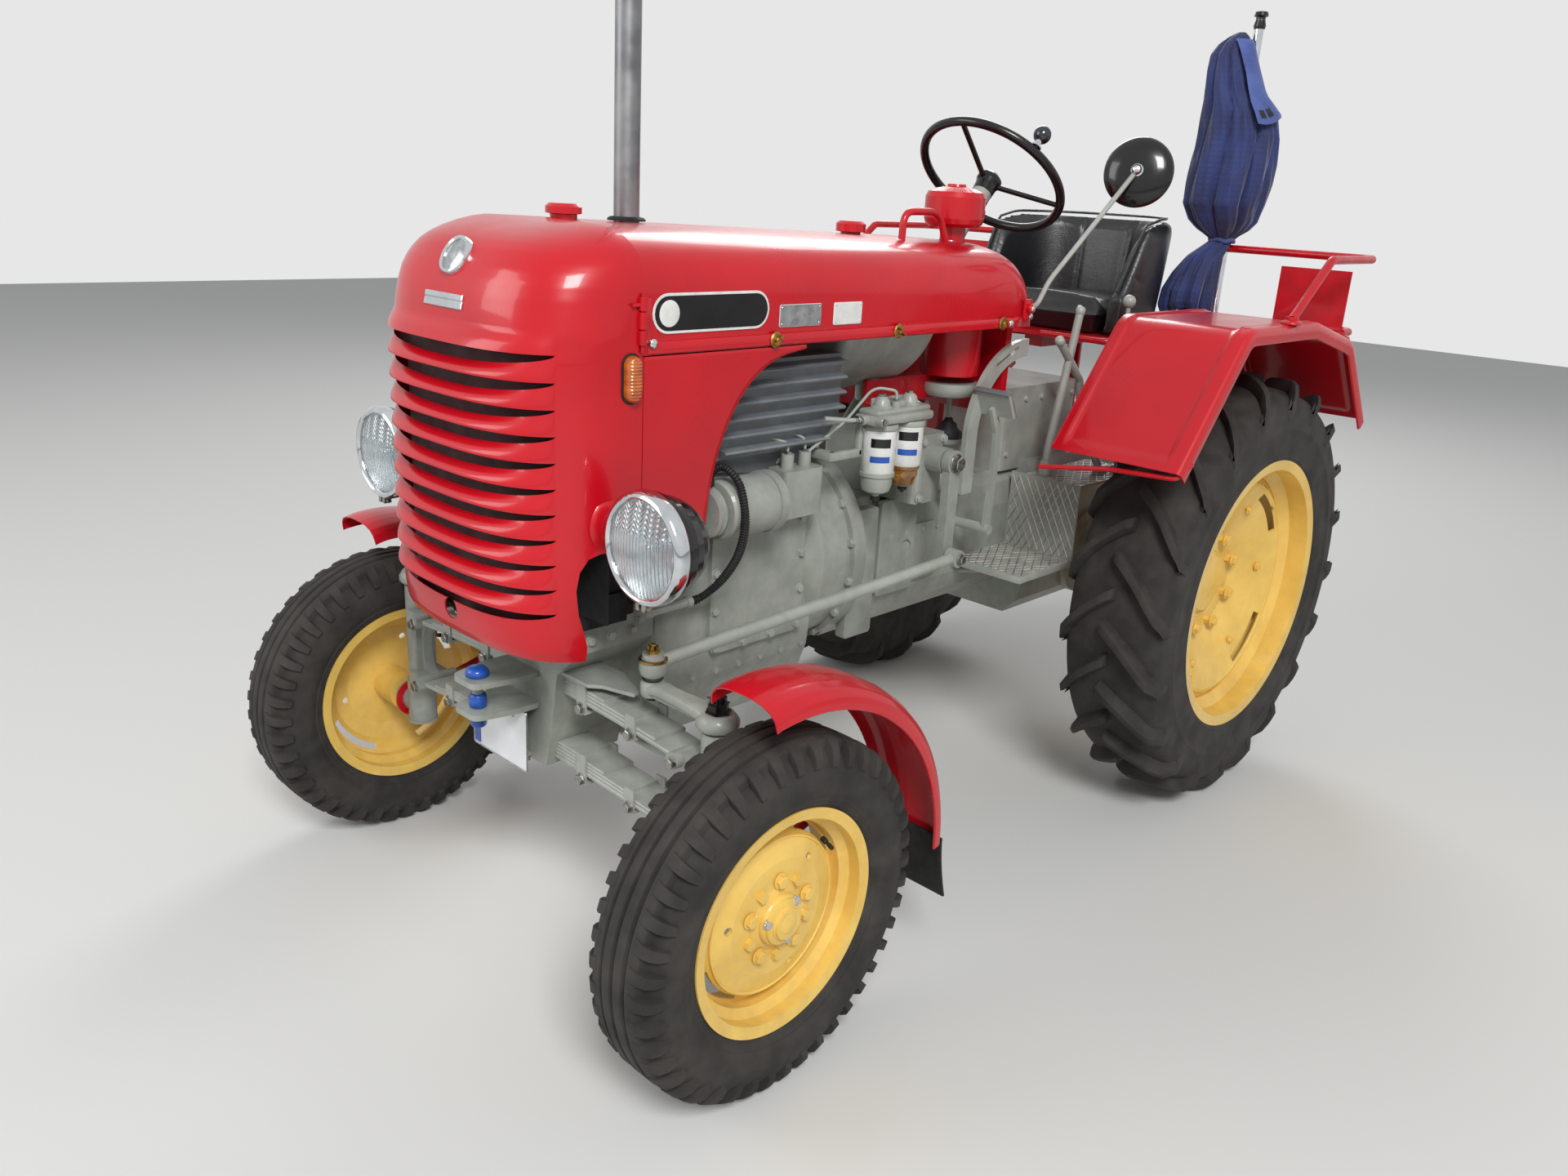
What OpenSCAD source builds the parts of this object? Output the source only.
// Two-cylinder farm tractor of the 1950s, on its wheels, with a louvred cowl,
// twin transverse leaf springs in front and open engine sides. The front faces -Y,
// the tractor's left side is +X, and the ground is at Z = 0.

/* [Stance] */
// Distance between the front and rear axles
wheelbase = 1836; // [1750:1950]
// Place of the front axle along the length
front_axle_y = -1040; // [-1080:-1000]
// Middle of a front tyre from the centre line
front_track_half = 667; // [650:720]
// Middle of a rear tyre from the centre line
rear_track_half = 613; // [610:660]

/* [Front wheels] */
// Outer radius of a front tyre
front_tyre_r = 352; // [340:360]
// Width of a front tyre
front_tyre_w = 166; // [150:170]
// Radius of the front rim's flange
front_rim_r = 222; // [215:230]
// Width of the front rim between its flanges
front_rim_w = 125; // [115:130]
// Kingpin from the centre line
kingpin_x = 530; // [515:540]
// Radius of the stub axle
spindle_r = 20; // [16:24]

/* [Rear wheels] */
// Radius of a rear tyre at the lugs' tips
rear_tyre_r = 599; // [590:610]
// Width of a rear tyre
rear_tyre_w = 284; // [270:290]
// Height of the rear tyre's lugs
lug_h = 32; // [24:38]
// Number of lugs on each half of a rear tyre
lug_count = 20; // [16:24]
// Thickness of one lug
lug_w = 34; // [26:40]
// Radius of the rear rim's flange
rear_rim_r = 381; // [370:390]
// Width of the rear rim between its flanges
rear_rim_w = 254; // [240:260]
// Radius of the rear axle shaft's end
axle_shaft_r = 38; // [30:45]

/* [Cowl and bonnet] */
// Half the width of the cowl and the bonnet
hood_half_w = 299; // [285:310]
// Height of the bonnet's crown at its front end
hood_top_z = 1530; // [1510:1550]
// Height of the bonnet's lower edge
hood_low_z = 1310; // [1295:1325]
// Length of the bonnet behind the cowl's seam
hood_len = 1265; // [1240:1290]
// Fall of the crown from front to rear
hood_fall = 26; // [10:40]
// Height of the cowl's lower edge
cowl_low_z = 748; // [735:765]
// Depth of the nose ahead of the seam
nose_depth = 222; // [210:235]
// Thickness of the sheet metal
sheet_t = 4; // [3:6]
// Number of louvres in the cowl
louvre_count = 11; // [8:11]
// Height of the lowest louvre's lip
louvre_low_z = 846; // [835:860]
// Rise from one louvre to the next
louvre_pitch = 47; // [44:48]
// How far a louvre stands out of the cowl
louvre_out = 13; // [8:16]
// Height of the slot under a louvre
louvre_slot = 16; // [10:20]

/* [Lamps] */
// Middle of a headlamp from the centre line
lamp_x = 450; // [430:480]
// Height of the headlamps
lamp_z = 1008; // [980:1030]
// Radius of a headlamp's rim
lamp_r = 98; // [88:104]

/* [Engine and gearbox] */
// Half the width of the crankcase
crankcase_half_w = 200; // [185:210]
// Height of the crankcase's underside
sump_z = 455; // [440:480]
// Height of the top of the crankcase
crankcase_top_z = 1000; // [980:1020]
// Height of the top of the cylinder head
head_top_z = 1275; // [1250:1285]
// Radius of the clutch housing
clutch_r = 232; // [215:245]
// Radius of the exhaust pipe
exhaust_r = 26; // [22:30]
// Height of the top of the exhaust pipe
exhaust_top_z = 2260; // [2100:2400]

/* [Springs and steering] */
// Height of the upper spring's main leaf
upper_spring_z = 604; // [595:615]
// Height of the lower spring's main leaf
lower_spring_z = 446; // [440:450]
// Thickness of one leaf
leaf_t = 8; // [6:10]
// Width of the leaves
leaf_w = 76; // [60:84]
// Radius of the kingpin
kingpin_r = 16; // [14:20]
// Length of the steering arm, and of the tie rod's arms
steer_arm = 185; // [170:195]
// Radius of the drag link
drag_link_r = 14; // [11:16]
// Radius of the steering wheel, to the middle of its rim
wheel_ring_r = 200; // [190:215]
// Tilt of the steering column from upright, in degrees
column_tilt = 40; // [38:42]

/* [Fenders and seat] */
// Inner edge of a rear fender from the centre line
fender_in_x = 436; // [430:445]
// Outer edge of a rear fender from the centre line
fender_out_x = 780; // [765:790]
// Height of a rear fender's flat top
fender_top_z = 1350; // [1335:1370]
// Radius of the front fenders' crown
front_fender_r = 459; // [440:470]
// Height of the seat cushion's top
seat_z = 1352; // [1330:1370]
// Width of the seat
seat_w = 470; // [430:490]
// Radius of the fender rails' tube
rail_r = 11; // [9:13]

/* [Hidden] */

$fn = 48;
// Gap between pieces that only rest on each other
seat_gap = 0.3;
// Radial clearance of a shaft that turns in a bore
run_gap = 0.05;
front_axle_z = front_tyre_r;
rear_axle_z = rear_tyre_r;
rear_axle_y = front_axle_y + wheelbase;
red = "#B5121B";
grey = "#A9AEA9";
cream = "#E3BC5C";
black = "#1B1B1C";

// Length coordinate of a point that lies v behind the front axle
function fy(v) = front_axle_y + v;
// Length coordinate of a point that lies v behind the rear axle
function ry(v) = rear_axle_y + v;
// Points of an arc about c with radius r, from angle a to angle b in n steps
function arc(c, r, a, b, n) =
    [for (i = [0:n]) let (t = a + (b - a) * i / n) [c[0] + r * cos(t), c[1] + r * sin(t)]];
// Signed power, for rounded outlines
function spow(v, e) = sign(v) * pow(abs(v), e);

// Both sides: the children once as drawn, at +X, and once mirrored to -X
module both_sides() {
    children();
    mirror([1, 0, 0]) children();
}

// Turns the children's +Z outwards, at the wheel's place on side s (1 left, -1 right)
module on_wheel(s, x, y, z) translate([s * x, y, z]) rotate([0, s * 90, 0]) children();

// Round bar between two points
module bar(a, b, r) {
    d = b - a;
    translate(a) rotate([0, acos(d[2] / norm(d)), atan2(d[1], d[0])])
        cylinder(r = r, h = norm(d));
}

// Angle by which a path turns at its point i
function turn_at(p, i) = let (u = p[i] - p[i - 1], v = p[i + 1] - p[i])
    acos(u * v / (norm(u) * norm(v)));
// Length that the bend at point i takes from each straight run beside it
function setback(p, i, bend) = i == 0 || i == len(p) - 1 ? 0 : bend * tan(turn_at(p, i) / 2);
// Direction from one point of a path to the next
function heading(p, i) = (p[i + 1] - p[i]) / norm(p[i + 1] - p[i]);

// How far an elbow stands proud of the straight runs, and how far these reach into it
elbow_out = 0.15;
elbow_in = 1;

// Round bar along a path of three or more points, with its corners bent to a radius
module bent_bar(p, r, bend) {
    for (i = [0:len(p) - 2])
        bar(p[i] + heading(p, i) * max(0, setback(p, i, bend) - elbow_in),
            p[i + 1] - heading(p, i) * max(0, setback(p, i + 1, bend) - elbow_in), r);
    for (i = [1:len(p) - 2]) let (u = heading(p, i - 1), v = heading(p, i), side = v - u * (u * v),
            w = side / norm(side), n = cross(u, w), c = p[i] - u * setback(p, i, bend) + w * bend)
        multmatrix([[-w[0], u[0], n[0], c[0]], [-w[1], u[1], n[1], c[1]], [-w[2], u[2], n[2], c[2]],
                [0, 0, 0, 1]])
            rotate_extrude(angle = turn_at(p, i)) translate([bend, 0]) circle(r = r + elbow_out);
}

// A right half outline with its mirrored left half
function twin(p) = concat(p, [for (i = [len(p) - 1:-1:0]) [-p[i][0], p[i][1]]]);

// Rounds the corners of a flat outline
module rounded(r) offset(r = r, $fn = 16) offset(delta = -r) children();

// Upright block with rounded corners, from its low corner and its size
module soft_block(p, size, r) translate([0, 0, p[2]]) linear_extrude(size[2]) rounded(r)
    translate([p[0], p[1]]) square([size[0], size[1]]);

// Solid of revolution about a line along Y: the profile's columns are radius and place
module turned(x, z, fn = 48) translate([x, 0, z]) rotate([-90, 0, 0]) rotate_extrude($fn = fn) children();

// Outline in the Y-Z plane, extruded along X from x0 to x1
module side_plate(x0, x1) translate([x0, 0, 0]) rotate([90, 0, 90]) linear_extrude(x1 - x0) children();

// Outline in the X-Z plane, extruded along Y from y0 to y1
module cross_plate(y0, y1) translate([0, y1, 0]) rotate([90, 0, 0]) linear_extrude(y1 - y0) children();

// Wheels and tyres

// Section of a tyre: bead radius, rim flange radius, rim width, outer radius, width and
// the tread's squareness
function tyre_section(bead_r, flange_r, rim_w, outer_r, w, e, n = 20) = let (
        bore_r = bead_r + 1 + seat_gap, mid_r = (bead_r + outer_r) / 2, half = (outer_r - bead_r) / 2,
        bead = [[bore_r, rim_w / 2 - 6], [flange_r + 1, rim_w / 2 - 1]])
    concat(bead, [for (i = [0:n]) let (a = 125 - 250 * i / n)
            [mid_r + half * spow(cos(a), e), w / 2 * spow(sin(a), e)]],
        [for (i = [1, 0]) [bead[i][0], -bead[i][1]]]);

front_bead_r = front_rim_r - 19;
rear_bead_r = rear_rim_r - 25;

module front_tyre(s) color(black) on_wheel(s, front_track_half, front_axle_y, front_axle_z)
    rotate_extrude($fn = 96) polygon(tyre_section(front_bead_r, front_rim_r, front_rim_w, front_tyre_r,
        front_tyre_w, 0.72));

// One bar of the chevron tread, from the middle of the tyre to its shoulder
module lug(a, flip) {
    reach = rear_tyre_w / 2;
    lean = 42;
    rotate([0, 0, a]) translate([rear_tyre_r - lug_h * 3, 0, 0])
        rotate([flip * lean, 0, 0]) translate([0, -lug_w / 2, flip > 0 ? -lug_w * 0.6 : -reach * 1.4])
            cube([lug_h * 4, lug_w, reach * 1.4 + lug_w * 0.6]);
}

module rear_tyre(s) color(black) on_wheel(s, rear_track_half, rear_axle_y, rear_axle_z) {
    step = 360 / lug_count;
    union() {
        rotate_extrude($fn = 96) polygon(tyre_section(rear_bead_r, rear_rim_r, rear_rim_w,
            rear_tyre_r - lug_h, rear_tyre_w - 14, 0.62));
        intersection() {
            difference() {
                rotate_extrude($fn = 96) polygon(tyre_section(rear_bead_r, rear_rim_r, rear_rim_w,
                    rear_tyre_r, rear_tyre_w, 0.42));
                translate([0, 0, -rear_tyre_w])
                    cylinder(r = rear_tyre_r - lug_h * 2.6, h = 2 * rear_tyre_w, $fn = 96);
            }
            union() for (i = [0:lug_count - 1]) {
                lug(i * step, 1);
                lug((i + 0.5) * step, -1);
            }
        }
    }
}

// Section of a rolled rim: flange radius, bead seat radius, well radius and width
module rim_section(flange_r, bead_r, well_r, w) {
    h = w / 2;
    well = w * 0.18;
    seat = w * 0.28;
    outer = [[flange_r, -h], [bead_r + 1, -h + 5], [bead_r, -seat], [well_r, -well],
        [well_r, well], [bead_r, seat], [bead_r + 1, h - 5], [flange_r, h]];
    inner = [[flange_r, h + 4], [bead_r - 3, h], [bead_r - 4, seat + 2], [well_r - 4, well + 2],
        [well_r - 4, -well - 2], [bead_r - 4, -seat - 2], [bead_r - 3, -h], [flange_r, -h - 4]];
    polygon(concat(outer, inner));
}

front_well_r = front_bead_r - 16;
front_hub_r = 44;
front_hub_in = 62;
module front_rim(s) color(cream) on_wheel(s, front_track_half, front_axle_y, front_axle_z)
    difference() {
        union() {
            rotate_extrude($fn = 96) rim_section(front_rim_r, front_bead_r, front_well_r, front_rim_w);
            rotate_extrude($fn = 96) polygon([[0, -front_hub_in], [front_hub_r, -front_hub_in],
                [front_hub_r, 26], [112, 30], [150, 20], [172, -2], [front_well_r - 1, -6],
                [front_well_r - 1, 0], [174, 4], [152, 27], [114, 37], [64, 37], [48, 42],
                [44, 58], [32, 60], [30, 68], [0, 70]]);
            for (i = [0:4]) rotate([0, 0, i * 72]) translate([76, 0, 34]) cylinder(r = 11, h = 14, $fn = 6);
        }
        translate([0, 0, -front_hub_in - 1]) cylinder(r = spindle_r + run_gap, h = 91);
        for (i = [0:2]) rotate([0, 0, i * 120 + 20]) translate([122, 0, 10]) cylinder(r = 8, h = 40);
        // Crescent slots between the disc and the rim
        for (i = [0:3]) rotate([0, 0, i * 90 + 20]) rotate_extrude(angle = 50, $fn = 96)
            translate([161, -30]) square([15, 60]);
    }

rear_well_r = rear_bead_r - 24;
rear_hub_z = -24;
module rear_rim(s) color(cream) on_wheel(s, rear_track_half, rear_axle_y, rear_axle_z)
    difference() {
        union() {
            rotate_extrude($fn = 96) rim_section(rear_rim_r, rear_bead_r, rear_well_r, rear_rim_w);
            rotate_extrude($fn = 96) polygon([[0, rear_hub_z - 30], [96, rear_hub_z - 30],
                [118, rear_hub_z - 8], [150, rear_hub_z], [240, 26], [292, 52], [rear_well_r - 1, 34],
                [rear_well_r - 1, 42], [294, 61], [238, 35], [150, rear_hub_z + 10],
                [112, rear_hub_z + 10], [92, rear_hub_z + 6], [80, rear_hub_z + 22], [0, rear_hub_z + 24]]);
            for (i = [0:7]) rotate([0, 0, i * 45 + 22.5]) translate([132, 0, rear_hub_z])
                cylinder(r = 12, h = 30, $fn = 6);
        }
        translate([0, 0, rear_hub_z - 31]) cylinder(r = axle_shaft_r + run_gap, h = 40);
        // Windows between the disc and the rim
        for (i = [0:3]) rotate([0, 0, i * 90 + 27]) rotate_extrude(angle = 36, $fn = 96)
            translate([268, 0]) square([48, 90]);
    }

// Front axle: two transverse springs, carriers, knuckles and steering

spring_eye_x = 465;
eye_r = 17;
leaf_bow = 6000;
eye_drop = leaf_bow - sqrt(pow(leaf_bow, 2) - pow(spring_eye_x, 2));
arm_z = 668;
carrier_low_z = lower_spring_z - eye_drop - 10;
carrier_top_z = 660;
knuckle_low_z = front_axle_z - 40;
knuckle_boss_r = 32;
// Plane of the fender stays, counted inwards from the middle of the tyre
stay_z = -100;
tie_z = 396;

// One leaf, bowed upwards: its under face at the middle is at z
module leaf(z, half_len, t) cross_plate(front_axle_y - leaf_w / 2, front_axle_y + leaf_w / 2)
    intersection() {
        translate([0, z - leaf_bow]) difference() {
            circle(r = leaf_bow + t, $fn = 96 * 4);
            circle(r = leaf_bow, $fn = 96 * 4);
        }
        translate([-half_len, z - 60]) square([2 * half_len, 120]);
    }

module leaf_springs() color(grey) {
    for (z = [upper_spring_z, lower_spring_z]) {
        leaf(z, spring_eye_x - eye_r - seat_gap, leaf_t + 2);
        for (i = [0:3]) leaf(z + (leaf_t + 2) + i * leaf_t, 400 - 78 * i, leaf_t);
        both_sides() for (x = [175, 330]) translate([x - 14, front_axle_y - leaf_w / 2 - 5, z - 22])
            difference() {
                cube([28, leaf_w + 10, x < 200 ? 66 : 50]);
                translate([-1, 5, 6]) cube([30, leaf_w, 200]);
            }
    }
}

module kingpin_carriers() color(grey) both_sides() difference() {
    top_z = upper_spring_z - eye_drop + 5;
    low_z = lower_spring_z - eye_drop + 5;
    union() {
        translate([kingpin_x, front_axle_y, carrier_low_z])
            cylinder(r = 30, h = carrier_top_z - carrier_low_z);
        // Spring eyes with the horns that hold them
        for (z = [top_z, low_z]) translate([spring_eye_x, front_axle_y, z]) rotate([90, 0, 0]) {
            translate([0, 0, -leaf_w / 2 - 14]) cylinder(r = eye_r, h = leaf_w + 28);
            translate([0, -15, -leaf_w / 2]) cube([kingpin_x - spring_eye_x - 10, 30, leaf_w]);
        }
        // Web between the horns, with a curved inner edge and a flange along it
        cross_plate(front_axle_y - 12, front_axle_y + 12) difference() {
            translate([spring_eye_x, low_z]) square([kingpin_x - spring_eye_x - 10, top_z - low_z]);
            translate([spring_eye_x - 6, (top_z + low_z) / 2]) scale([0.55, 1])
                circle(r = (top_z - low_z) / 2 - 16, $fn = 96);
        }
        translate([kingpin_x - 29, front_axle_y - 26, low_z]) cube([8, 52, top_z - low_z]);
    }
    translate([kingpin_x, front_axle_y, carrier_low_z - 1])
        cylinder(r = kingpin_r + run_gap, h = carrier_top_z - carrier_low_z + 2);
}

// Kingpin with its lower block, stub axle and arms, on side s
module knuckle(s) color(grey) {
    translate([s * kingpin_x, front_axle_y, 0]) {
        translate([0, 0, knuckle_low_z]) cylinder(r = kingpin_r, h = arm_z + 36 - knuckle_low_z);
        translate([0, 0, knuckle_low_z]) cylinder(r = 34, h = carrier_low_z - 3 - knuckle_low_z);
        translate([0, 0, arm_z]) cylinder(r = 27, h = 30);
    }
    on_wheel(s, kingpin_x, front_axle_y, front_axle_z) {
        cylinder(r = spindle_r, h = front_track_half - kingpin_x + 26);
        cylinder(r = knuckle_boss_r, h = front_track_half - kingpin_x - front_hub_in - 3);
    }
    difference() {
        union() {
            translate([s * kingpin_x - 14, front_axle_y, tie_z - 10]) cube([28, steer_arm, 20]);
            translate([s * kingpin_x, fy(steer_arm), tie_z - 10]) cylinder(r = 20, h = 20);
        }
        if (s > 0) translate([s * kingpin_x, fy(steer_arm), tie_z - 11]) cylinder(r = 9 + run_gap, h = 22);
    }
    if (s > 0) {
        translate([kingpin_x - steer_arm, front_axle_y - 15, arm_z + 4]) cube([steer_arm, 30, 22]);
        translate([kingpin_x - steer_arm, front_axle_y, arm_z + 2]) cylinder(r = 22, h = 26);
    }
}

drag_x = kingpin_x - steer_arm;
drag_front_z = arm_z + 66;
drop_pivot = [258, fy(955), 1002];
drop_len = 232;
drop_shaft_r = 15;
drag_rear = [drag_x, drop_pivot[1], drop_pivot[2] - drop_len];
module drag_link() color(grey) difference() {
    front = [drag_x, front_axle_y, drag_front_z];
    union() {
        bar(front, drag_rear, drag_link_r);
        translate([drag_x, front_axle_y, arm_z + 28 + seat_gap]) cylinder(r = 10, h = 40);
        translate(front - [0, 0, 24]) cylinder(r = 21, h = 46);
        translate(drag_rear + [-16, 0, 0]) rotate([0, 90, 0]) cylinder(r = 22, h = 32);
    }
    translate(drag_rear + [-17, 0, 0]) rotate([0, 90, 0]) cylinder(r = 10 + run_gap, h = 34);
}

// Arm that swings fore and aft on the steering box and moves the drag link
module drop_arm() color(grey) {
    x0 = drag_x - 44;
    translate([x0, drop_pivot[1], drop_pivot[2]]) rotate([0, 90, 0]) cylinder(r = 30, h = 22);
    side_plate(x0, x0 + 22) hull() {
        translate([drop_pivot[1], drop_pivot[2]]) circle(r = 22, $fn = 32);
        translate([drag_rear[1], drag_rear[2]]) circle(r = 18, $fn = 32);
    }
    translate([x0, drag_rear[1], drag_rear[2]]) rotate([0, 90, 0]) cylinder(r = 10, h = 64);
    translate([x0 - 70, drop_pivot[1], drop_pivot[2]]) rotate([0, 90, 0]) cylinder(r = drop_shaft_r, h = 75);
}

module tie_rod() color(grey) {
    z = tie_z + 10 + seat_gap;
    y = fy(steer_arm);
    for (s = [-1, 1]) translate([s * kingpin_x, y, z]) cylinder(r = 18, h = 30);
    bar([-kingpin_x, y, z + 15], [kingpin_x, y, z + 15], 11);
    translate([kingpin_x, y, tie_z - 22]) cylinder(r = 9, h = 34 + seat_gap);
}

// Front fender with its stays and mudflap, on side s
module front_fender(s) color(red) {
    r = front_fender_r;
    // Columns: drop below the crown, place across the wheel
    crown = [[40, -80], [24, -78], [10, -62], [2, -32], [0, 0], [2, 32], [10, 62], [24, 78], [40, 80]];
    skin = concat([for (p = crown) [r - p[0], p[1]]],
        [for (i = [len(crown) - 1:-1:0]) [r - crown[i][0] - 3, crown[i][1] * 0.97]]);
    start = s > 0 ? 90 : -10;
    on_wheel(s, front_track_half, front_axle_y, front_axle_z) {
        rotate([0, 0, start]) rotate_extrude(angle = 100, $fn = 96) polygon(skin);
        for (a = [20, 75]) rotate([0, 0, s > 0 ? 180 - a : a]) {
            translate([knuckle_boss_r + 6, -12, stay_z]) cube([r - 46 - knuckle_boss_r, 24, 6]);
            translate([r - 56, -12, stay_z]) cube([15, 24, -stay_z - 72]);
        }
        translate([0, 0, stay_z]) difference() {
            cylinder(r = 48, h = 6);
            translate([0, 0, -1]) cylinder(r = knuckle_boss_r + seat_gap, h = 8);
        }
    }
    translate([s * front_track_half - 74, fy(r - 16), 214]) cube([148, 5, front_axle_z + 6 - 214]);
}

// Cowl with louvres

seam_y = front_axle_y;
// Columns: height, half width, depth of the nose ahead of the seam
nose_sections = [[cowl_low_z, 4, 8], [900, 0, 0], [1300, 0, 0], [1376, 4, 8], [1430, 12, 22],
    [1464, 26, 40], [1490, 58, 66], [1508, 95, 100], [1521, 165, 150], [hood_top_z, 250, 215]];
nose_power = 3.3;
function nose_plan(z, half_w, depth, n = 20) = [for (i = [0:n]) let (a = 180 * i / n)
    [half_w * spow(cos(a), 2 / nose_power), -depth * spow(sin(a), 2 / nose_power)]];

// Solid nose, drawn in by the wall thickness t
module nose_solid(t, back = 0) hull() for (s = nose_sections)
    translate([0, seam_y + back, s[0] - (s[0] > 1300 ? t : 0)]) linear_extrude(0.1)
        polygon(nose_plan(s[0], hood_half_w - s[1] - t, nose_depth - s[2] - t));

// Plan of a louvre's edge, which stands out by reach and runs into the cowl at its tips
louvre_half_w = 280;
function louvre_plan(reach, n = 18) = [for (i = [0:n]) let (a = 180 * i / n)
    [louvre_half_w * spow(cos(a), 0.5), -(nose_depth + reach) * spow(sin(a), 0.5)]];

// One louvre: its lip at height z, and its back that curves up into the cowl.
// Columns: height above the lip, reach
louvre_rows = [[0, 0.85], [3, 1], [12, 0.88], [28, -0.3]];
module louvre(z) hull() for (v = louvre_rows)
    translate([0, seam_y, z + v[0]]) linear_extrude(0.1) polygon(louvre_plan(v[1] * louvre_out));

// The slot under a louvre: straight along the lip, and pointed at both tips
slot_half_w = 262;
module louvre_opening(z, n = 12) cross_plate(seam_y - nose_depth - 40, seam_y - 110)
    translate([0, z]) polygon([for (i = [0:n]) let (u = 2 * i / n - 1)
        [slot_half_w * u, -louvre_slot * sqrt(1 - u * u)]]);

// The skirts' rear edge: place of its top and foot, height of its foot and of its top
skirt_len = 433;
skirt_foot = [166, 889];
skirt_top_z = 1297;
function skirt_edge(n = 12) = [for (i = [0:n]) let (a = 90 - 90 * i / n)
    [fy(skirt_len - (skirt_len - skirt_foot[0]) * spow(cos(a), 2 / 2.3)),
        skirt_foot[1] + (skirt_top_z - skirt_foot[1]) * spow(sin(a), 2 / 2.3)]];

module cowl() color(red) difference() {
    union() {
        nose_solid(0);
        for (i = [0:louvre_count - 1]) louvre(louvre_low_z + i * louvre_pitch);
        both_sides() side_plate(hood_half_w - sheet_t, hood_half_w) polygon(concat(
            [[seam_y - 1, cowl_low_z + 1], [seam_y - 1, hood_low_z - seat_gap],
                [fy(skirt_len), hood_low_z - seat_gap]], skirt_edge(), [[fy(107), 849]]));
        both_sides() translate([hood_half_w - 6, lamp_bar_y, lamp_z]) rotate([0, 90, 0])
            cylinder(r = lamp_boss_r, h = lamp_boss_out + 6, $fn = 32);
    }
    nose_solid(sheet_t, 1);
    for (i = [0:louvre_count - 1]) louvre_opening(louvre_low_z + i * louvre_pitch);
    // Arch over the front axle
    side_plate(-500, 500) polygon([[fy(-96), 600], [fy(-96), 779], [fy(-127), 835], [fy(-133), 889],
        [fy(-121), 938], [fy(-97), 955], [fy(-47), 956], [fy(12), 946], [fy(60), 900],
        [fy(107), 850], [fy(107), 600]]);
    // Hole for the starting crank
    translate([0, seam_y - 300, 797]) rotate([-90, 0, 0]) cylinder(r = 22, h = 200);
}

// Bonnet

// Columns: place along the bonnet, fall of the crown
hood_sections = [[0.1, 0], [0.905 * hood_len, hood_fall], [0.95 * hood_len, hood_fall + 15],
    [0.975 * hood_len, hood_fall + 38], [0.993 * hood_len, hood_fall + 72], [hood_len, hood_fall + 105],
    [hood_len, hood_fall + 190]];
function hood_outline(half_w, top_z, n = 16) = let (c = 110)
    concat([[half_w, hood_low_z], [half_w, top_z - c]],
        [for (i = [1:n - 1]) let (a = 180 * i / n)
            [half_w * spow(cos(a), 0.42), top_z - c + c * spow(sin(a), 0.8)]],
        [[-half_w, top_z - c], [-half_w, hood_low_z]]);

module hood_solid(t) hull() for (s = hood_sections)
    translate([0, fy(s[0]) - (s[0] > 100 ? t : 0), 0]) rotate([90, 0, 0]) linear_extrude(0.1)
        polygon([for (p = hood_outline(hood_half_w - t, hood_top_z - s[1] - t))
            [p[0], max(p[1], hood_low_z)]]);

module bonnet() color(red) difference() {
    cut_z = hood_top_z - 130;
    union() {
        hood_solid(0);
        // Flange along the lower edge
        both_sides() side_plate(hood_half_w - 1, hood_half_w + 3) rounded(6)
            translate([fy(20), hood_low_z]) square([0.95 * hood_len - 20, 22]);
    }
    translate([0, -1, -1]) hood_solid(sheet_t);
    translate([exhaust_x, exhaust_y, cut_z]) cylinder(r = exhaust_r + 8, h = 200);
    translate([0, fy(48), cut_z]) cylinder(r = 30, h = 200);
    translate([0, fuel_cap_y, cut_z]) cylinder(r = 28, h = 200);
    translate([cleaner[0], cleaner[1], cut_z]) cylinder(r = 36, h = 200);
    column_line(-720) cylinder(r = 34, h = 700);
}

exhaust_x = -20;
cap_z = hood_top_z + 8;
exhaust_y = fy(217);
fuel_cap_y = fy(885);
cleaner = [120, fy(hood_len - 135), hood_top_z - 7];

module exhaust() color("#8A8C8C") difference() {
    manifold_x = -head_half_w - 62;
    manifold_z = 1200;
    union() {
        bent_bar([[manifold_x, fy(540), manifold_z], [manifold_x, exhaust_y, manifold_z],
            [manifold_x + 10, exhaust_y, head_top_z + 60], [exhaust_x, exhaust_y, head_top_z + 126],
            [exhaust_x, exhaust_y, exhaust_top_z]], exhaust_r, 46);
        for (v = [300, 450])
            bar([-head_half_w - seat_gap, fy(v), manifold_z], [manifold_x, fy(v), manifold_z], exhaust_r - 2);
    }
    translate([exhaust_x, exhaust_y, exhaust_top_z - 300]) cylinder(r = exhaust_r - 3, h = 400);
}

// Oil bath cleaner under the bonnet with its stem and the cap above
can_r = 75;
can_x = 150;
module air_cleaner() color(red) {
    translate(cleaner) rotate_extrude() polygon([[0, 14], [60, 14], [70, 22], [74, 34], [74, 84], [68, 96],
        [50, 104], [24, 108], [22, 114], [0, 114]]);
    translate([cleaner[0], cleaner[1], 1300]) cylinder(r = 31, h = cleaner[2] + 20 - 1300);
    translate([can_x, cleaner[1], tank_rail_z + seat_gap]) cylinder(r = can_r, h = 1376 - tank_rail_z);
}

module bonnet_fittings() color(red) {
    // Caps of the radiator and of the fuel tank, on their necks
    translate([0, fy(48), 0]) rotate_extrude() polygon([[0, radiator_top_z + seat_gap],
        [26, radiator_top_z + seat_gap], [26, cap_z], [35, cap_z + 2], [35, cap_z + 14], [28, cap_z + 20],
        [0, cap_z + 20]]);
    translate([0, fuel_cap_y, 0]) rotate_extrude() polygon([[0, tank_top_z + seat_gap],
        [24, tank_top_z + seat_gap], [24, cap_z - 24], [36, cap_z - 22], [36, cap_z - 4], [28, cap_z + 2],
        [0, cap_z + 2]]);
}

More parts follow.
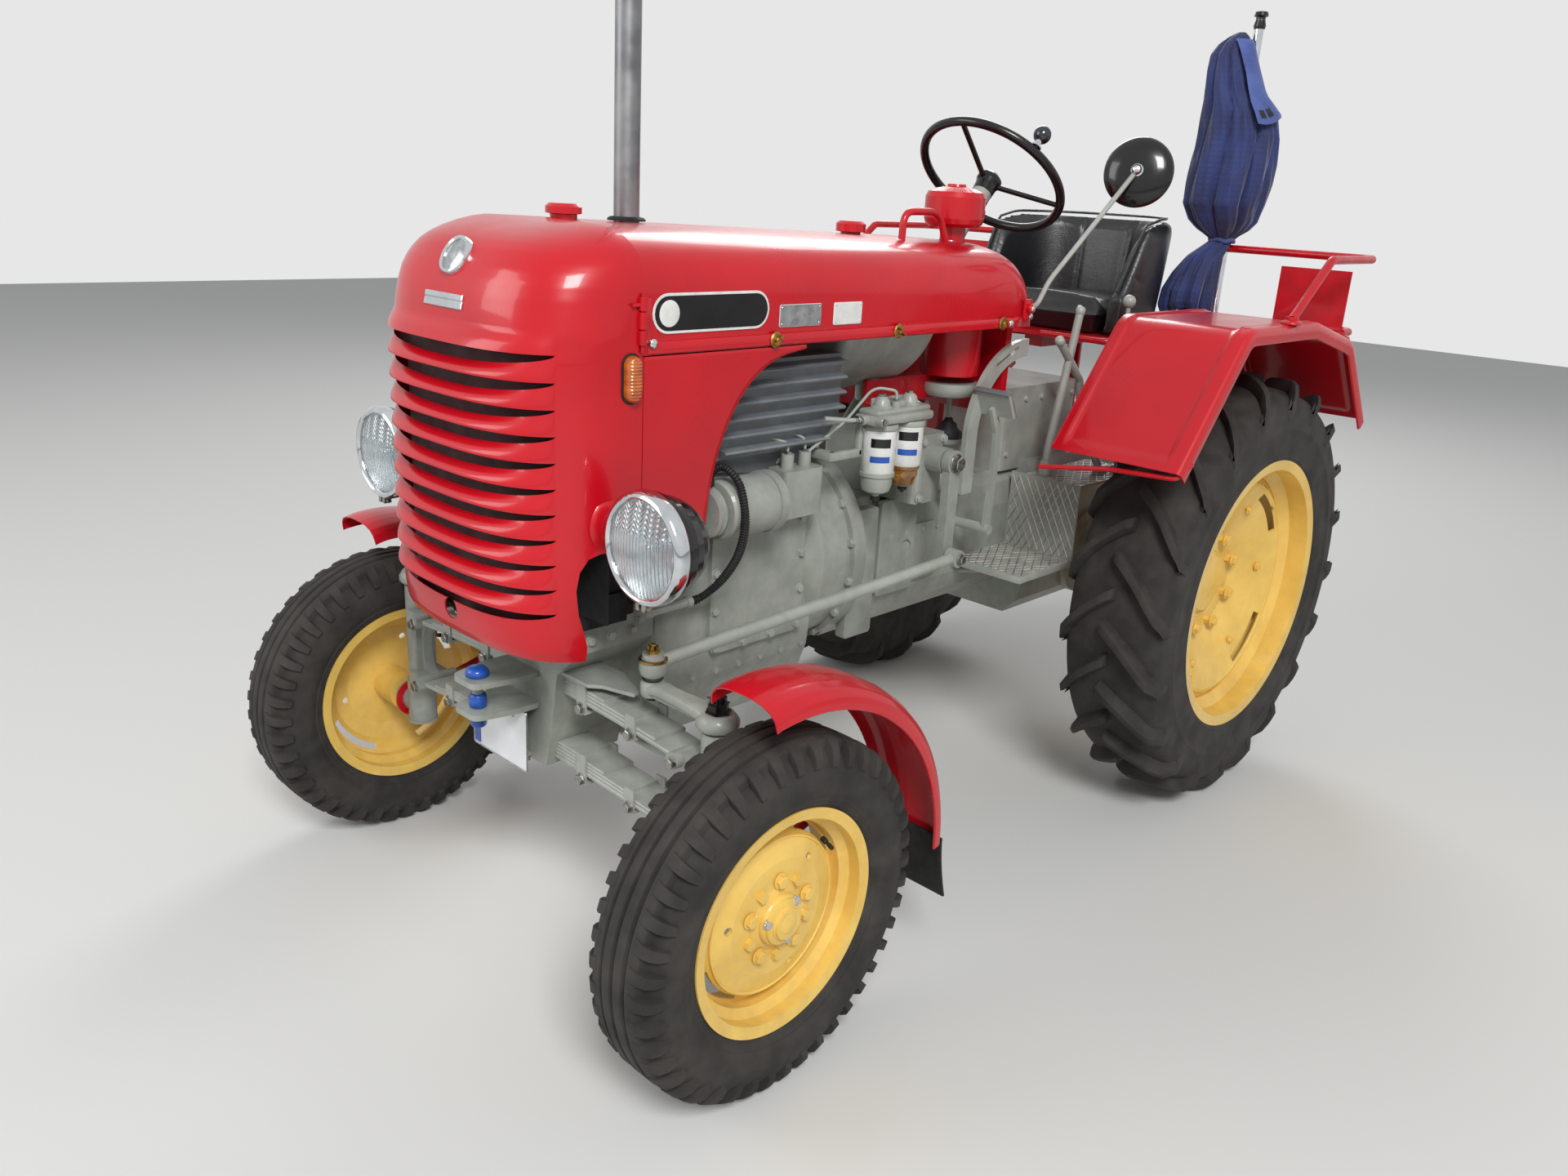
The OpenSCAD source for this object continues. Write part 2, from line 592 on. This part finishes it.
// Panel behind the bonnet, on two legs, with the rails that carry the fuel tank
dash_back = hood_len - sheet_t - 1 - seat_gap;
dash_front = dash_back - 24;
dash_half_w = 240;
tank_r = 236;
tank_z = hood_top_z - 145;
tank_rail_x = 120;
tank_rail_z = tank_z - sqrt(pow(tank_r, 2) - pow(tank_rail_x, 2)) - seat_gap;
module dash() color(red) {
    translate([-dash_half_w, fy(dash_front), 1080]) cube([2 * dash_half_w, 24, hood_low_z - 1080 + 60]);
    both_sides() {
        translate([16, fy(dash_front), gearbox_top_z + seat_gap]) cube([34, 24, 200]);
        translate([tank_rail_x, fy(830), tank_rail_z - 60]) cube([12, dash_front - 829, 60]);
    }
}

// Lamps

lamp_y = fy(-116);
lamp_bar_y = lamp_y + 56;
// Raised boss on the cowl that carries a headlamp
lamp_boss_r = 44;
lamp_boss_out = 5;
module on_lamps() for (s = [-1, 1]) translate([s * lamp_x, lamp_y, lamp_z]) rotate([-90, 0, 0]) children();

module headlamp_shells() color(black) {
    on_lamps() difference() {
        rotate_extrude() polygon(concat([[0, 0], [lamp_r, 0], [lamp_r, 30]],
            arc([0, 30], lamp_r - 6, 0, 90, 8), [[0, 30 + lamp_r - 6]]));
        translate([0, 0, -1]) cylinder(r = lamp_r - 8, h = 21);
    }
    both_sides() bar([hood_half_w + lamp_boss_out + seat_gap, lamp_bar_y, lamp_z],
        [lamp_x - lamp_r + 30, lamp_bar_y, lamp_z], 16);
}

module headlamp_lenses() color("#DDE4E6") on_lamps()
    rotate_extrude() polygon(concat([[0, 19.5], [lamp_r - 8.3, 19.5], [lamp_r - 8.3, 2]],
        [[lamp_r * 0.6, -5], [lamp_r * 0.3, -9], [0, -10]]));

marker = [hood_half_w, fy(-27), 1272];
module side_markers() color("#D8761A") both_sides()
    translate(marker + [seat_gap, 0, 0]) hull() for (z = [-24, 24])
        translate([0, 0, z]) rotate([0, 90, 0]) cylinder(r = 18, h = 24, $fn = 32);

// Engine and gearbox

crank_z = 780;
engine_front = 130;
engine_back = 600;
head_half_w = 150;
block_h = 129;
fan_z = 1130;
module engine() color(grey) {
    w = crankcase_half_w;
    // Crankcase that narrows into the sump, with rounded front corners
    intersection() {
        cross_plate(fy(engine_front), fy(engine_back)) polygon(twin([[w - 54, sump_z], [w - 6, sump_z + 130],
            [w, sump_z + 185], [w, crankcase_top_z - 50], [w - 14, crankcase_top_z]]));
        soft_block([-w, fy(engine_front), sump_z],
            [2 * w, engine_back - engine_front + 60, crankcase_top_z - sump_z], 28);
    }
    // Cylinder block, head and valve cover
    soft_block([-head_half_w, fy(170), crankcase_top_z - 1], [2 * head_half_w, 420, block_h + 2], 14);
    soft_block([-head_half_w, fy(170), crankcase_top_z + block_h],
        [2 * head_half_w, 420, head_top_z - crankcase_top_z - block_h], 30);
    soft_block([-80, fy(262), head_top_z - 1], [160, 300, 47], 30);
    // Covers over the tappets' side openings
    both_sides() side_plate(w - 1, w + 12) rounded(26) translate([fy(270), 640]) square([285, 282]);
    // Clutch housing
    turned(0, crank_z, 96) polygon([[0, fy(549)], [w - 15, fy(549)], [clutch_r + 4, fy(engine_back)],
        [clutch_r + 4, fy(690)], [clutch_r + 18, fy(690)], [clutch_r + 18, fy(710)], [0, fy(710)]]);
    // Starter on the right
    turned(-w - 48, 690) polygon([[0, fy(410)], [30, fy(410)], [46, fy(418)], [46, fy(640)], [0, fy(640)]]);
    // Fan on its hub
    turned(0, fan_z) polygon([[0, fy(56)], [34, fy(56)], [34, fy(96)], [52, fy(100)], [52, fy(118)],
        [30, fy(120)], [30, fy(175)], [0, fy(175)]]);
    translate([0, fy(76), fan_z]) for (a = [0:90:270]) rotate([0, a, 0]) rotate([32, 0, 0])
        translate([20, -1.5, -30]) cube([150, 3, 60]);
}

// Heights of the front support and of the gearbox
support_low_z = 430;
support_top_z = 775;
gearbox_top_z = 890;
rear_case_top_z = 910;
gearbox_half_w = 165;
rear_case_half_w = 205;
module transmission() color(grey) {
    g = gearbox_half_w;
    c = rear_case_half_w;
    // Flange on the clutch housing and the neck behind it
    turned(0, crank_z, 96) polygon([[0, fy(710) + seat_gap], [clutch_r + 18, fy(710) + seat_gap],
        [clutch_r + 18, fy(732)], [clutch_r - 26, fy(742)], [clutch_r - 62, fy(810)], [0, fy(810)]]);
    // Gearbox, rear case and the cover over the lift
    cross_plate(fy(740), fy(1520)) polygon(twin([[g - 60, 545], [g - 18, 590], [g, 640], [g, 800],
        [g - 15, 860], [g - 40, gearbox_top_z]]));
    both_sides() side_plate(g - 1, g + 9) rounded(24) translate([fy(900), 655]) square([220, 150]);
    cross_plate(ry(-330), ry(210)) polygon(twin([[c - 55, 455], [c - 12, 500], [c, 560], [c, 850],
        [c - 30, rear_case_top_z]]));
    soft_block([-150, fy(1396), gearbox_top_z - 1], [300, 377, 231], 26);
    // Tower of the gear lever
    translate([gear_dome[0], gear_dome[1], 0]) rotate_extrude() polygon([[0, gearbox_top_z - 30],
        [56, gearbox_top_z - 30], [56, gearbox_top_z + 14], [42, gearbox_top_z + 40], [38, gear_dome[2] - 24],
        [50, gear_dome[2] - 12], [50, gear_dome[2]], [0, gear_dome[2]]]);
    // Axle housings with the shafts' ends
    for (s = [-1, 1]) on_wheel(s, 190, rear_axle_y, rear_axle_z) {
        rotate_extrude() polygon([[0, 0], [130, 0], [130, 26], [104, 44], [88, 80], [88, 176],
            [housing_r, 196], [housing_r, 262], [0, 262]]);
        cylinder(r = axle_shaft_r, h = rear_track_half + rear_hub_z - 190 + 5);
    }
}

module front_support() color(grey) {
    stack_h = leaf_t * 5 + 2;
    difference() {
        cross_plate(fy(-60), fy(engine_front) - seat_gap) polygon(twin([[76, support_low_z], [96, 500],
            [118, 650], [190, 715], [190, support_top_z]]));
        for (z = [upper_spring_z, lower_spring_z]) translate([-200, fy(-leaf_w / 2 - 0.8), z - 1.3])
            cube([400, leaf_w + 1.6, stack_h + 1.6]);
    }
    // Tow clevis with its pin
    for (z = [560, 628]) translate([0, 0, z]) linear_extrude(12) rounded(20)
        polygon(twin([[60, fy(-50)], [60, fy(-110)], [40, fy(-205)]]));
    translate([0, fy(-170), 0]) rotate_extrude() polygon([[0, 536], [12, 536], [12, 640 + seat_gap],
        [20, 640 + seat_gap], [20, 656], [0, 656]]);
}

radiator_top_z = 1400;
module radiator() color("#3A3C3D") {
    base_z = support_top_z + seat_gap;
    // Bottom tank, core, top tank and the frame that closes the nose
    translate([-215, fy(-70), base_z]) cube([430, 110, 62]);
    translate([-205, fy(-62), base_z + 61]) cube([410, 94, 490]);
    cross_plate(fy(-70), fy(40)) rounded(30) translate([-215, radiator_top_z - 90]) square([430, 90]);
    translate([-292.5, fy(-70), 810]) cube([585, 4, 440]);
}

module intake_cover() color("#7E8384") {
    x = head_half_w + seat_gap;
    // Cover with its lower corners cut off, and six level ribs
    side_plate(x, x + 64) polygon([[fy(240), 1110], [fy(262), 1070], [fy(590), 1070], [fy(640), 1128],
        [fy(640), head_top_z - 6], [fy(240), head_top_z - 6]]);
    for (i = [0:5]) let (z = 1078 + i * 33, cut = max(0, 1128 - z))
        cross_plate(fy(250 + cut * 0.4), fy(632 - cut * 0.9))
            polygon([[x + 60, z], [x + 88, z + 5], [x + 92, z + 9], [x + 88, z + 13], [x + 60, z + 18]]);
}

tank_top_z = 1450;
module fuel_tank() color(grey) intersection() {
    // Pressed drum with rounded ends and two raised bands
    turned(0, tank_z, 96) polygon(concat([[0, fy(650)]], arc([tank_r - 26, fy(676)], 26, -90, 0, 6),
        [for (v = [706, 800]) each [[tank_r, fy(v)], [tank_r + 3, fy(v + 4)], [tank_r + 3, fy(v + 18)],
            [tank_r, fy(v + 22)]]],
        arc([tank_r - 26, fy(950)], 26, 0, 90, 6), [[0, fy(976)]]));
    translate([-300, fy(600), 1100]) cube([600, 500, tank_top_z - 1100]);
}

dynamo_x = crankcase_half_w + 68;
dynamo_z = 985;
module engine_auxiliaries() color(grey) {
    x = crankcase_half_w + seat_gap;
    // Dynamo with its pulley and end cover, on a foot
    turned(dynamo_x, dynamo_z) polygon([[0, fy(190)], [46, fy(190)], [52, fy(193)], [42, fy(200)],
        [52, fy(207)], [46, fy(210)], [16, fy(211)], [16, fy(217)], [58, fy(220)], [62, fy(226)],
        [62, fy(350)], [65, fy(350)], [65, fy(372)], [52, fy(386)], [0, fy(388)]]);
    translate([x, fy(236), dynamo_z - 57]) cube([40, 110, 70]);
    // Cover of the valve chest and the injection pump
    side_plate(head_half_w + seat_gap, head_half_w + 24) rounded(14)
        translate([fy(250), 1004]) square([290, 58]);
    soft_block([x, fy(430), 930], [64, 120, 104], 12);
    for (v = [462, 516]) translate([x + 32, fy(v), 1030]) cylinder(r = 14, h = 36);
}

// Corrugated conduit that carries the dynamo's wires to the lamps
module wiring_conduit() color(black) {
    x = crankcase_half_w + 24;
    bent_bar([[dynamo_x, fy(262), dynamo_z + 62 + seat_gap], [dynamo_x, fy(262), dynamo_z + 96],
        [x, fy(176), dynamo_z + 96], [x, fy(150), 812], [x, fy(100), 800]], 9, 24);
}

module fuel_filters() color("#C9CCCB") {
    x = head_half_w + seat_gap;
    // Filter head with two canisters, on a bracket from the block
    soft_block([252, fy(653), 1118], [66, 198, 34], 18);
    for (v = [704, 802]) translate([285, fy(v), 0]) {
        rotate_extrude() polygon([[0, 944], [9, 944], [9, 954], [22, 958], [35, 974], [38, 990], [38, 1094],
            [33, 1110], [33, 1120], [0, 1120]]);
        translate([0, 0, 1150]) cylinder(r = 13, h = 18, $fn = 6);
    }
    translate([x, fy(560), 1042]) cube([120, 25, 20]);
    translate([255, fy(560), 1042]) cube([15, 105, 20]);
    translate([255, fy(655), 1042]) cube([15, 10, 80]);
}

// Steering column and wheel

column_top = [0, fy(1442), 1663];
// Places the children's Z axis on the column, d along it from the wheel's centre
module column_line(d) translate(column_top) rotate([-column_tilt, 0, 0]) translate([0, 0, d]) children();

box_half_w = 250;
// Top of the gear lever's tower
gear_dome = [112, fy(1200), 1004];
module steering_column() color(grey) difference() {
    union() {
        column_line(-805) cylinder(r = 20, h = 805 - 55 - seat_gap);
        column_line(-82) cylinder(r = 27, h = 27 - seat_gap);
        // Steering box and the drop arm's boss
        soft_block([-60, drop_pivot[1] - 55, gearbox_top_z + seat_gap], [60 + box_half_w, 110, 170], 20);
        translate([box_half_w - 1, drop_pivot[1], drop_pivot[2]]) rotate([0, 90, 0])
            cylinder(r = 32, h = drag_x - 48 - box_half_w + 1);
    }
    translate([drag_x - 120, drop_pivot[1], drop_pivot[2]]) rotate([0, 90, 0])
        cylinder(r = drop_shaft_r + run_gap, h = 100);
}

module steering_wheel() color(black) column_line(0) {
    rotate_extrude($fn = 96) translate([wheel_ring_r, 0]) circle(r = 12);
    rotate_extrude() polygon([[0, -55], [28, -55], [30, -30], [34, -20], [34, -8], [24, 2], [0, 6]]);
    for (a = [30, 150, 270]) rotate([0, 0, a]) bar([20, 0, -24], [wheel_ring_r, 0, 0], 7);
    // Knob for turning with one hand
    rotate([0, 0, -30]) translate([wheel_ring_r, 0, 8]) {
        cylinder(r = 8, h = 30);
        translate([0, 0, 44]) sphere(r = 22);
    }
}

// Rear fenders, rails, seat and footboards

// Side outline of a rear fender; t draws it in
function fender_line(t) = [[fy(1185) + t, 1035], [fy(1445) + t * 0.6, fender_top_z - t],
    [ry(0) + 20, fender_top_z - t], [ry(290) - t * 0.3, 1290 - t], [ry(500) - t, 1052]];

housing_r = 150;
module rear_fenders() color(red) both_sides() {
    side_plate(fender_in_x, fender_out_x) polygon(concat(fender_line(0),
        [for (i = [4:-1:0]) fender_line(sheet_t)[i]]));
    // Rolled outer edge
    side_plate(fender_out_x - 5, fender_out_x) polygon(concat(fender_line(0),
        [for (i = [4:-1:0]) fender_line(38)[i]]));
    side_plate(fender_in_x, fender_in_x + sheet_t) difference() {
        polygon(fender_line(0));
        translate([rear_axle_y, rear_axle_z]) circle(r = 540, $fn = 96);
    }
    side_plate(fender_in_x - 4, fender_in_x + 2) difference() {
        polygon([[ry(-80), 700], [ry(80), 700], [ry(40), 1200], [ry(-40), 1200]]);
        translate([rear_axle_y, rear_axle_z]) circle(r = housing_r + seat_gap, $fn = 96);
    }
}

// Height of a rear fender's top at v behind the rear axle, on its rear slope
function fender_z(v) = fender_top_z - (v - 20) * (fender_top_z - 1290) / 270;

rail_back_y = fy(2200);
rail_z = 1504;
rail_low_z = 1306;
rail_x = fender_out_x - 14;
rail_in_x = 313;
rail_foot = 264;
module fender_rails() color(red) both_sides() {
    foot_z = fender_z(rail_foot - 14) + seat_gap;
    bent_bar([[rail_x, fy(1700), fender_top_z + 12], [rail_x, fy(1890), rail_z],
        [rail_x, rail_back_y, rail_z], [rail_in_x, rail_back_y, rail_z], [rail_in_x, rail_back_y, rail_low_z],
        [rail_x - 26, rail_back_y, rail_low_z], [rail_x - 26, ry(rail_foot) + 20, rail_low_z]], rail_r, 34);
    translate([rail_x, fy(1698), fender_top_z + seat_gap]) cylinder(r = 16, h = 18);
    translate([rail_x - 26, ry(rail_foot) + 16, foot_z]) cylinder(r = 14, h = rail_low_z - foot_z);
    translate([512, rail_back_y - 2, rail_low_z]) cube([200, 4, 161]);
}

// Plan of the seat: half width, front end and length of the straight sides, depth of the round back
seat_half_w = seat_w / 2;
seat_front_y = fy(1725);
seat_side = 130;
seat_round = 215;
seat_wall = 46;
pan_z = 1240;
function seat_plan(d, n = 16) = let (w = seat_half_w - 25 + d)
    concat([[-w, seat_front_y - d], [w, seat_front_y - d]],
        [for (i = [0:n]) let (a = 180 * i / n) [w * spow(cos(a), 0.72),
            seat_front_y + seat_side + (seat_round + d) * spow(sin(a), 0.72)]]);

module seat_frame() color(red) {
    // Pan, the bar under it and the post on the rear case
    translate([0, 0, pan_z]) linear_extrude(12) polygon(seat_plan(seat_wall + 2));
    translate([-30, fy(1740), 1200]) cube([60, 330, 41]);
    translate([0, fy(1980), rear_case_top_z + seat_gap]) cylinder(r = 22, h = 1205 - rear_case_top_z);
    // Bent guard bars on both sides of the cushion
    guard_x = seat_half_w + 44;
    both_sides() bent_bar([[60, seat_front_y - 40, pan_z + 6], [guard_x - 4, seat_front_y - 40, pan_z + 6],
        [guard_x, seat_front_y + 130, pan_z + 40], [guard_x, seat_front_y + 220, pan_z - 30],
        [80, seat_front_y + 250, pan_z - 30]], 9, 24);
}

module seat_cushion() color(black) translate([0, 0, pan_z + 12 + seat_gap])
    linear_extrude(seat_z - pan_z - 12) polygon(seat_plan(0));

seat_back_z = 1582;
// Back that wraps round the cushion, leaning out, with its wings cut down towards the front
module seat_back() color(black) difference() {
    seat_shell(seat_wall);
    translate([0, 0, -1]) seat_shell(seat_gap + 1);
    side_plate(-400, 400) polygon([[seat_front_y - 200, pan_z - 40], [seat_front_y + 30, pan_z - 40],
        [seat_front_y + 40, seat_z], [seat_front_y + 190, seat_back_z - 20],
        [seat_front_y + 210, seat_back_z + 60], [seat_front_y - 200, seat_back_z + 60]]);
}

// Solid in the plan of the seat that widens towards its top; d widens all of it
module seat_shell(d) hull() {
    translate([0, 0, pan_z + 12 + seat_gap]) linear_extrude(1) polygon(seat_plan(d));
    translate([0, 14, seat_back_z - 3 + (d > seat_wall / 2 ? 2 : 4)]) linear_extrude(1)
        polygon(seat_plan(d + 16));
}

module footboards() color(grey) both_sides() {
    // Step, riser and foot plate with its bracket
    translate([gearbox_half_w + seat_gap, fy(1200), 676]) cube([220, 250, 6]);
    translate([gearbox_half_w + seat_gap, fy(1450), 676]) cube([220, 5, 214]);
    translate([rear_case_half_w + seat_gap, fy(1450), 884]) cube([180, 330, 6]);
    side_plate(300, 306) polygon([[fy(1452), 700], [fy(1452), 886], [fy(1740), 886], [fy(1500), 800]]);
}

strut_x = dash_half_w + seat_gap;
strut_z = 1037;
strut_r = 234;
strut_w = 44;
// Columns of each point on a lever's path: across, along and height
levers = [[[112, 1200, 1032], [110, 1196, 1130], [96, 1222, 1236]],
    [[250, 1483, 898], [250, 1483, 960], [250, 1564, 1338]],
    [[318, 1660, 898], [250, 1640, 1010], [250, 1604, 1144], [250, 1472, 1260]],
    [[352, 1700, 898], [352, 1640, 1060], [352, 1633, 1366]],
    [[-250, 1500, 898], [-250, 1500, 960], [-265, 1540, 1290]]];
lever_r = [7, 11, 11, 6, 10];
module controls() color(grey) {
    board_z = 890 + seat_gap;
    for (i = [0:4]) let (p = levers[i]) bent_bar([for (q = p) [q[0], fy(q[1]), q[2]]], lever_r[i], 20);
    // Sockets of the levers
    translate(gear_dome + [0, 0, seat_gap]) intersection() {
        sphere(r = 34);
        translate([-40, -40, 0]) cube([80, 80, 40]);
    }
    for (i = [1:4]) translate([levers[i][0][0], fy(levers[i][0][1]), board_z]) cylinder(r = 20, h = 20);
    // Balls on the gear lever and the thin lever
    for (b = [[0, 13], [3, 17]]) let (p = levers[b[0]], q = p[len(p) - 1])
        translate([q[0], fy(q[1]), q[2]]) sphere(r = b[1]);
    // Clutch and brake pedals on their cross shafts
    both_sides() {
        translate([gearbox_half_w + seat_gap, fy(1150), 800]) rotate([0, 90, 0]) cylinder(r = 13, h = 144);
        side_plate(290, 300) polygon([[fy(1138), 800], [fy(1164), 800], [fy(1172), 960], [fy(1166), 1060],
            [fy(1136), 1124], [fy(1118), 1112], [fy(1146), 1050], [fy(1150), 960]]);
        translate([300, fy(1124), 1124]) rotate([-62, 0, 0]) translate([-50, -34, 0]) cube([100, 68, 10]);
    }
    // Curved struts from the gearbox up behind the bonnet, with a slot near their tops
    both_sides() {
        translate([0, fy(1321), strut_z]) side_plate(strut_x, strut_x + 14) difference() {
            intersection() {
                circle(r = strut_r, $fn = 96);
                translate([-strut_r, 0]) square(strut_r);
            }
            circle(r = strut_r - strut_w, $fn = 96);
            rotate(115) translate([strut_r - strut_w / 2 - 5, -50]) square([10, 100]);
        }
        side_plate(strut_x, strut_x + 14) translate([fy(1321) - strut_r, gearbox_top_z + seat_gap])
            square([strut_w, strut_z - gearbox_top_z]);
        translate([90, fy(1321) - strut_r, gearbox_top_z + seat_gap]) cube([strut_x - 88, strut_w, 12]);
    }
}

module rear_hitch() color(grey) {
    translate([-260, ry(210) + seat_gap, 470]) cube([520, 60, 16]);
    difference() {
        translate([-40, ry(210) + seat_gap, 430]) cube([80, 200, 40]);
        translate([0, ry(375), 420]) cylinder(r = 14, h = 60);
    }
    translate([0, ry(210) + seat_gap, 640]) rotate([-90, 0, 0]) cylinder(r = 17.4, h = 90);
}

mirror_base = [hood_half_w + seat_gap, fy(hood_len - 60), hood_low_z + 24];
module rear_view_mirror() color(black) {
    head = [430, fy(hood_len + 175), 1690];
    translate(mirror_base) cube([6, 34, 40]);
    bent_bar([mirror_base + [4, 17, 24], mirror_base + [26, 22, 34], mirror_base + [34, 50, 90],
        head], 6, 12);
    translate(head) rotate([80, 0, 20])
        rotate_extrude() polygon([[0, -10], [60, -6], [80, 2], [84, 8], [82, 14], [0, 14]]);
}

mast_r = 13;
mast = [340, rail_back_y - mast_r - rail_r - seat_gap];
module parasol_mast() color(grey) translate([mast[0], mast[1], 1260]) cylinder(r = mast_r, h = 860);

module parasol_cover() color("#1C2B5E") translate([mast[0], mast[1], rail_z + rail_r + 15]) difference() {
    hull() {
        cylinder(r = 50, h = 1, $fn = 32);
        translate([0, 0, 220]) cylinder(r = 150, h = 1, $fn = 32);
        translate([0, 0, 560]) cylinder(r = 60, h = 1, $fn = 32);
    }
    translate([0, 0, -1]) cylinder(r = mast_r + seat_gap, h = 600);
}

engine();
transmission();
front_support();
radiator();
cowl();
bonnet();
dash();
exhaust();
air_cleaner();
bonnet_fittings();
headlamp_shells();
headlamp_lenses();
side_markers();
intake_cover();
fuel_tank();
engine_auxiliaries();
wiring_conduit();
fuel_filters();
steering_column();
rear_fenders();
fender_rails();
seat_frame();
seat_cushion();
seat_back();
footboards();
controls();
leaf_springs();
kingpin_carriers();
rear_hitch();
rear_view_mirror();
parasol_mast();
parasol_cover();
knuckle(1);  // knuckle_left
knuckle(-1);  // knuckle_right
front_fender(1);  // front_fender_left
front_fender(-1);  // front_fender_right
front_rim(1);  // front_rim_left
front_rim(-1);  // front_rim_right
front_tyre(1);  // front_tyre_left
front_tyre(-1);  // front_tyre_right
rear_rim(1);  // rear_rim_left
rear_rim(-1);  // rear_rim_right
rear_tyre(1);  // rear_tyre_left
rear_tyre(-1);  // rear_tyre_right
steering_wheel();
drop_arm();
drag_link();
tie_rod();
